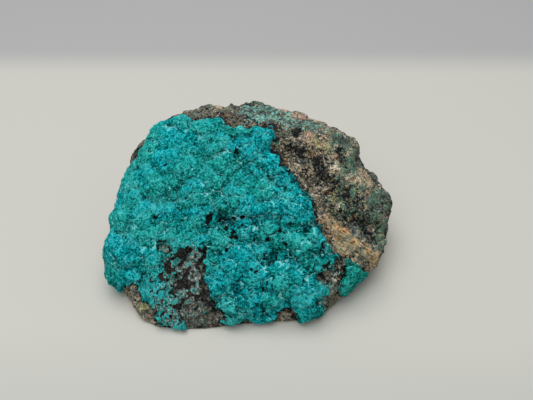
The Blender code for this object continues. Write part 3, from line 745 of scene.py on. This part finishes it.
class Paint:
    """A Principled material with helpers for adding its nodes."""

    def __init__(self, name, roughness, specular):
        self.material = bpy.data.materials.new(name)
        self.material.use_nodes = True
        self.nodes = self.material.node_tree.nodes
        self.links = self.material.node_tree.links
        self.shader = self.nodes["Principled BSDF"]
        self.shader.inputs["Roughness"].default_value = roughness
        self.shader.inputs["Specular IOR Level"].default_value = specular
        self.place = self.nodes.new("ShaderNodeTexCoord").outputs["Object"]

    def join(self, value, socket):
        """Link a node's output to a socket, or set the socket to a number or colour."""
        if isinstance(value, bpy.types.NodeSocket):
            self.links.new(value, socket)
        else:
            socket.default_value = value

    def attribute(self, name):
        node = self.nodes.new("ShaderNodeAttribute")
        node.attribute_name = name
        return node.outputs["Fac"]

    def noise(self, size, detail=2.0, offset=0.0):
        """Noise with lumps this many millimetres across, from about 0.2 to 0.8."""
        node = self.nodes.new("ShaderNodeTexNoise")
        node.noise_dimensions = "4D"
        node.inputs["W"].default_value = offset
        node.inputs["Scale"].default_value = 1 / (size * MM)
        node.inputs["Detail"].default_value = detail
        node.inputs["Roughness"].default_value = 0.62
        self.links.new(self.place, node.inputs["Vector"])
        return node.outputs["Fac"]

    def streaks(self, size, along, offset):
        """Noise drawn out along a direction."""
        along = Vector(along).normalized()
        dot = self.nodes.new("ShaderNodeVectorMath")
        dot.operation = "DOT_PRODUCT"
        self.links.new(self.place, dot.inputs[0])
        dot.inputs[1].default_value = along
        part = self.nodes.new("ShaderNodeVectorMath")
        part.operation = "SCALE"
        part.inputs[0].default_value = along * -0.85
        self.links.new(dot.outputs["Value"], part.inputs["Scale"])
        total = self.nodes.new("ShaderNodeVectorMath")
        self.links.new(self.place, total.inputs[0])
        self.links.new(part.outputs[0], total.inputs[1])
        noise = self.noise(size, 4, offset)
        self.links.new(total.outputs[0], noise.node.inputs["Vector"])
        return noise

    def math(self, operation, a, b=0.0, c=0.0):
        node = self.nodes.new("ShaderNodeMath")
        node.operation = operation
        for value, socket in zip((a, b, c), node.inputs):
            self.join(value, socket)
        return node.outputs[0]

    def weighted(self, start, *layers):
        """A starting value plus each layer times its weight."""
        total = start
        for layer, weight in layers:
            total = self.math("MULTIPLY_ADD", layer, weight, total)
        return total

    def frayed(self, value, size, detail, offset, amount):
        """A value with noise added, so that an edge along it frays."""
        fray = self.weighted(-amount / 2, (self.noise(size, detail, offset), amount))
        return self.math("ADD", value, fray)

    def threads(self, size, offset):
        """How far noise is from its middle, which is 0 along thin winding lines."""
        return self.math("ABSOLUTE", self.math("SUBTRACT", self.noise(size, 3, offset), 0.5))

    def ramp(self, value, low, high, top=1.0):
        """0 below low, top above high, smooth between."""
        node = self.nodes.new("ShaderNodeMapRange")
        node.interpolation_type = "SMOOTHSTEP"
        self.join(value, node.inputs["Value"])
        node.inputs["From Min"].default_value = low
        node.inputs["From Max"].default_value = high
        node.inputs["To Max"].default_value = top
        return node.outputs["Result"]

    def mix(self, share, first, second):
        node = self.nodes.new("ShaderNodeMix")
        node.data_type = "RGBA"
        self.join(share, node.inputs["Factor"])
        for value, socket in zip((first, second), (node.inputs["A"], node.inputs["B"])):
            self.join((*value, 1) if isinstance(value, tuple) else value, socket)
        return node.outputs["Result"]

    def multiply(self, colour, value):
        node = self.nodes.new("ShaderNodeMix")
        node.data_type = "RGBA"
        node.blend_type = "MULTIPLY"
        node.inputs["Factor"].default_value = 1.0
        self.join(colour, node.inputs["A"])
        self.links.new(value, node.inputs["B"])
        return node.outputs["Result"]

    def colours(self, value, stops):
        """The colour at a value between the stops, which run from low to high."""
        node = self.nodes.new("ShaderNodeValToRGB")
        first, last = node.color_ramp.elements
        first.position, first.color = stops[0][0], (*stops[0][1], 1)
        last.position, last.color = stops[-1][0], (*stops[-1][1], 1)
        for at, colour in stops[1:-1]:
            node.color_ramp.elements.new(at).color = (*colour, 1)
        self.join(value, node.inputs["Fac"])
        return node.outputs["Color"]

    def finish(self, colour, bumps):
        """Set the shader's colour and its bumps, each a height with its strength and depth."""
        self.links.new(colour, self.shader.inputs["Base Color"])
        normal = None
        for height, strength, depth in bumps:
            bump = self.nodes.new("ShaderNodeBump")
            bump.inputs["Strength"].default_value = strength
            bump.inputs["Distance"].default_value = depth * MM
            self.links.new(height, bump.inputs["Height"])
            if normal:
                self.links.new(normal, bump.inputs["Normal"])
            normal = bump.outputs["Normal"]
        self.links.new(normal, self.shader.inputs["Normal"])
        return self.material


# Colours from the darkest up, at places along a ramp.
TEAL = [
    (0.0, (0.0, 0.015, 0.018)), (0.25, (0.0, 0.080, 0.088)), (0.5, (0.0, 0.215, 0.238)),
    (0.75, (0.0, 0.41, 0.45)), (1.0, (0.04, 0.68, 0.73)),
]
GREENER = [
    (0.0, (0.0, 0.018, 0.015)), (0.25, (0.002, 0.085, 0.073)), (0.5, (0.006, 0.225, 0.190)),
    (0.75, (0.015, 0.40, 0.335)), (1.0, (0.06, 0.66, 0.56)),
]
LACE, FROST_AND_HIGHLIGHT, HAZE = (0.09, 0.66, 0.65), (0.28, 0.86, 0.85), (0.035, 0.42, 0.41)
PORE, PIT = (0.012, 0.014, 0.015), (0.011, 0.012, 0.012)
WORN_BLACK = [(0.45, (0.006, 0.006, 0.006)), (0.68, (0.09, 0.085, 0.075))]
WORN_GROUND = [(0.41, (0.014, 0.015, 0.015)), (0.48, (0.10, 0.12, 0.105)), (0.59, (0.42, 0.48, 0.42))]
WORN_REST = [(0.34, (0.01, 0.16, 0.155)), (0.5, (0.09, 0.36, 0.33)), (0.64, (0.36, 0.62, 0.56))]
FIBRES = [
    (0.36, (0.13, 0.135, 0.115)), (0.43, (0.24, 0.235, 0.16)), (0.5, (0.36, 0.31, 0.17)),
    (0.62, (0.52, 0.27, 0.10)),
]


def black_lumps(paint):
    return paint.colours(paint.noise(0.7, 4, 35.0), WORN_BLACK)


def worn_colour(paint, black, pale):
    """What shows where the crust has worn off: a black mineral, grey rock and pale remnants."""
    ground = paint.colours(paint.noise(1.0, 5, 32.0), WORN_GROUND)
    rest = paint.colours(paint.noise(0.7, 3, 33.0), WORN_REST)
    colour = paint.mix(paint.ramp(paint.frayed(pale, 0.8, 4, 31.0, 4.4), 0.35, 0.65), ground, rest)
    black = paint.frayed(black, 0.9, 4, 36.0, 2.0)
    return paint.mix(paint.ramp(black, 0.4, 0.65), colour, black_lumps(paint))


def crust_material(name, stops):
    paint = Paint(name, 0.8, 0.02)
    height, top_light, frost_and_highlight = (paint.attribute(n) for n in ("height", "top_light", "frost_and_highlight"))
    powder, wear, black = (paint.attribute(n) for n in ("powder", "wear", "black"))
    lines = paint.ramp(paint.threads(1.2, 14.0), 0.05, 0.0)
    # How light the crust is: its grains' tone and noise, and painted light and shade: darker low down, in
    # creases, in folds, under each lip and on the lower side of each lobe; lighter on crests, along upper
    # rims and on the upper side of each lobe.
    lightness = paint.weighted(
        -1.47,
        (paint.attribute("tone"), 0.22),
        (height, 0.25),
        (paint.noise(9.0, 2, 3.0), 0.25),
        (paint.noise(0.8, 5, 5.0), 1.1),
        (paint.attribute("shade"), -0.5),
        (frost_and_highlight, 0.2),
        (paint.noise(0.45, 3, 8.0), 1.2),
        (paint.attribute("ridge"), 0.35),
        (paint.attribute("crease"), -0.3),
        (top_light, 0.6),
        (paint.attribute("fold"), -0.25),
        (lines, 0.45),
    )
    # Some lobes are greener; the lower side of each is greener too, as part of its painted shade.
    green = paint.weighted(0.07, (paint.noise(4.5, 2, 4.0), 1.0), (paint.attribute("hue"), 0.7), (top_light, -0.8))
    green = paint.ramp(green, 0.2, 0.8, 0.75)
    colour = paint.mix(green, paint.colours(lightness, stops), paint.colours(lightness, GREENER))
    # Pale lacy lines, more of them in some regions than in others.
    lace = paint.weighted(1.0, (paint.threads(1.8, 9.0), -15.0))
    where = paint.weighted(-1.35, (paint.noise(5.0, 2, 11.0), 3.0), (powder, 0.6), (height, 0.5))
    lace = paint.math("MULTIPLY", lace, where)
    colour = paint.mix(paint.ramp(lace, 0.1, 0.9, 0.85), colour, LACE)
    # White on threads, and here and there on the upper rims of lobes and scales, where it is partly a pale
    # coating and partly a painted highlight.
    edge = paint.attribute("edge")
    white = paint.weighted(-0.9, (paint.noise(4.0, 3, 13.0), 1.6), (powder, 0.25), (edge, 0.2))
    white = paint.math("MULTIPLY", white, lines)
    rims = paint.weighted(-1.92, (paint.noise(1.5, 3, 16.0), 2.2), (paint.noise(5.0, 2, 17.0), 2.8))
    white = paint.math("MULTIPLY_ADD", frost_and_highlight, rims, white)
    white = paint.math("MULTIPLY", white, paint.weighted(-0.5, (paint.noise(0.5, 3, 15.0), 3.0)))
    colour = paint.mix(paint.ramp(white, 0.2, 0.75, 0.85), colour, FROST_AND_HIGHLIGHT)
    haze = paint.math("ADD", powder, paint.noise(1.6, 3, 12.0))
    colour = paint.mix(paint.ramp(haze, 0.75, 1.5, 0.42), colour, HAZE)
    # The worn places, the pores and the pits.
    worn = worn_colour(paint, black, paint.attribute("pale"))
    colour = paint.mix(paint.ramp(paint.frayed(wear, 1.1, 4, 34.0, 2.8), 0.5, 0.8), colour, worn)
    pores = paint.math("MULTIPLY_ADD", paint.attribute("pepper"), 0.13, paint.noise(0.75, 2, 36.0))
    colour = paint.mix(paint.ramp(pores, 0.665, 0.705), colour, PORE)
    black = paint.frayed(black, 0.7, 3, 31.0, 1.4)
    colour = paint.mix(paint.ramp(black, 0.35, 0.65), colour, black_lumps(paint))
    pit = paint.frayed(paint.attribute("pit"), 0.7, 3, 31.0, 1.4)
    colour = paint.mix(paint.ramp(pit, 0.35, 0.65), colour, PIT)
    bumps = [(paint.noise(0.8, 3, 1.0), 0.9, 0.7), (paint.noise(0.35, 2, 2.0), 0.7, 0.25)]
    return paint.finish(colour, bumps)


def rock_material():
    paint = Paint("mottled rock", 0.78, 0.2)
    colour = MINERALS["slate"]
    # Each mineral's speckles lie over those before it, the denser the larger its share.
    for k, (name, tint) in enumerate(MINERALS.items()):
        if name != "slate":
            speckle = paint.noise(0.9 if k % 2 else 1.4, 3, 40.0 + 3 * k)
            speckle = paint.math("MULTIPLY_ADD", paint.attribute(name), SHARE_SCALE, speckle)
            colour = paint.mix(paint.ramp(speckle, 0.475, 0.525), colour, tint)
    tone, height = paint.attribute("tone"), paint.attribute("height")
    # Each grain's own tone and fine noise, and painted shade: the lower the relief, the darker.
    lightness = paint.weighted(-3.2, (tone, 0.5), (height, 0.7), (paint.noise(0.6, 4, 6.0), 7.4))
    colour = paint.multiply(colour, lightness)
    # The ledge's fibres.
    fibres = paint.weighted(-3.3, (paint.streaks(0.5, LEDGE_RUN, 50.0), 9.0))
    fibres = paint.multiply(paint.colours(paint.noise(3.2, 4, 51.0), FIBRES), fibres)
    share = paint.math("MULTIPLY_ADD", paint.noise(1.2, 3, 52.0), 3.0, paint.attribute("ledge"))
    colour = paint.mix(paint.ramp(share, 1.5, 2.4, 0.85), colour, fibres)
    # Thin films of crust, and what shows where the crust has worn off.
    film = paint.frayed(paint.attribute("film"), 1.2, 4, 53.0, 2.4)
    coat = paint.colours(paint.weighted(-0.85, (paint.noise(0.8, 4, 54.0), 2.6)), GREENER)
    colour = paint.mix(paint.ramp(film, 0.4, 0.6), colour, coat)
    worn = worn_colour(paint, paint.attribute("worn_black"), paint.attribute("worn_pale"))
    wear = paint.frayed(paint.attribute("wear"), 1.8, 3, 34.0, 0.8)
    colour = paint.mix(paint.ramp(wear, 0.35, 0.7), colour, worn)
    bumps = [(paint.noise(0.8, 3, 7.0), 1.0, 0.8), (paint.noise(0.35, 2, 8.0), 0.8, 0.3)]
    return paint.finish(colour, bumps)


def add_floor():
    """A plain floor, a little darker close in front, with painted shade far behind the specimen that turns it
    grey.
    """
    half = 3.0
    mesh = bpy.data.meshes.new("floor")
    corners = [(-half, -half, 0), (half, -half, 0), (half, half, 0), (-half, half, 0)]
    mesh.from_pydata(corners, [], [(0, 1, 2, 3)])
    floor = bpy.data.objects.new("floor", mesh)
    bpy.context.scene.collection.objects.link(floor)
    paint = Paint("floor", 0.9, 0.1)
    place = paint.nodes.new("ShaderNodeSeparateXYZ")
    paint.links.new(paint.place, place.inputs[0])
    depth = place.outputs["Y"]
    colour = paint.mix(paint.ramp(depth, -0.072, -0.035), FLOOR_FRONT, FLOOR_MIDDLE)
    colour = paint.mix(paint.ramp(depth, 0.125, 0.158), colour, FLOOR_BACK)
    paint.links.new(colour, paint.shader.inputs["Base Color"])
    mesh.materials.append(paint.material)


def add_light(name, place, size, power):
    """A soft white lamp that shines at the specimen's foot."""
    light = bpy.data.lights.new(name, "AREA")
    light.shape = "DISK"
    light.size = size
    light.energy = power
    obj = bpy.data.objects.new(name, light)
    obj.location = place
    obj.rotation_mode = "QUATERNION"
    obj.rotation_quaternion = (-Vector(place)).to_track_quat("-Z", "Y")
    bpy.context.scene.collection.objects.link(obj)


def add_world():
    world = bpy.data.worlds.new("studio")
    world.use_nodes = True
    background = world.node_tree.nodes["Background"]
    background.inputs["Color"].default_value = (1, 1, 1, 1)
    background.inputs["Strength"].default_value = WORLD_LIGHT
    bpy.context.scene.world = world


def add_camera():
    """A camera in front of the specimen, looking down at it."""
    camera = bpy.data.cameras.new("camera")
    camera.sensor_width = 36.0
    camera.lens = camera.sensor_width / 2 / tan(CAMERA_VIEW / 2)
    camera.clip_start = 0.005
    obj = bpy.data.objects.new("camera", camera)
    obj.location = CAMERA_AIM + CAMERA_DISTANCE * Vector((0, -cos(CAMERA_RISE), sin(CAMERA_RISE)))
    obj.rotation_mode = "QUATERNION"
    obj.rotation_quaternion = (CAMERA_AIM - obj.location).to_track_quat("-Z", "Y")
    bpy.context.scene.collection.objects.link(obj)
    bpy.context.scene.camera = obj


ROCK = tree_of("host_rock")
CRUSTS = [tree_of("chrysocolla_crust"), tree_of("side_crust")]
teal = crust_material("chrysocolla", TEAL)
side_teal = crust_material("chrysocolla, side", GREENER)

add_camera()
make_crust("crust", "chrysocolla_crust", teal, CRUST_SEED)
make_crust("crust_side", "side_crust", side_teal, SIDE_SEED, SIDE_THICKNESS, SIDE_RELIEF)
make_rock("rock", "host_rock", rock_material(), ROCK_SEED)
add_floor()
add_light("overhead", (-0.06, 0.12, 0.9), 0.9, 5.0)
add_light("front", (-0.20, -0.45, 0.75), 0.6, 1.7)
add_world()
bpy.context.scene.view_settings.view_transform = "Standard"
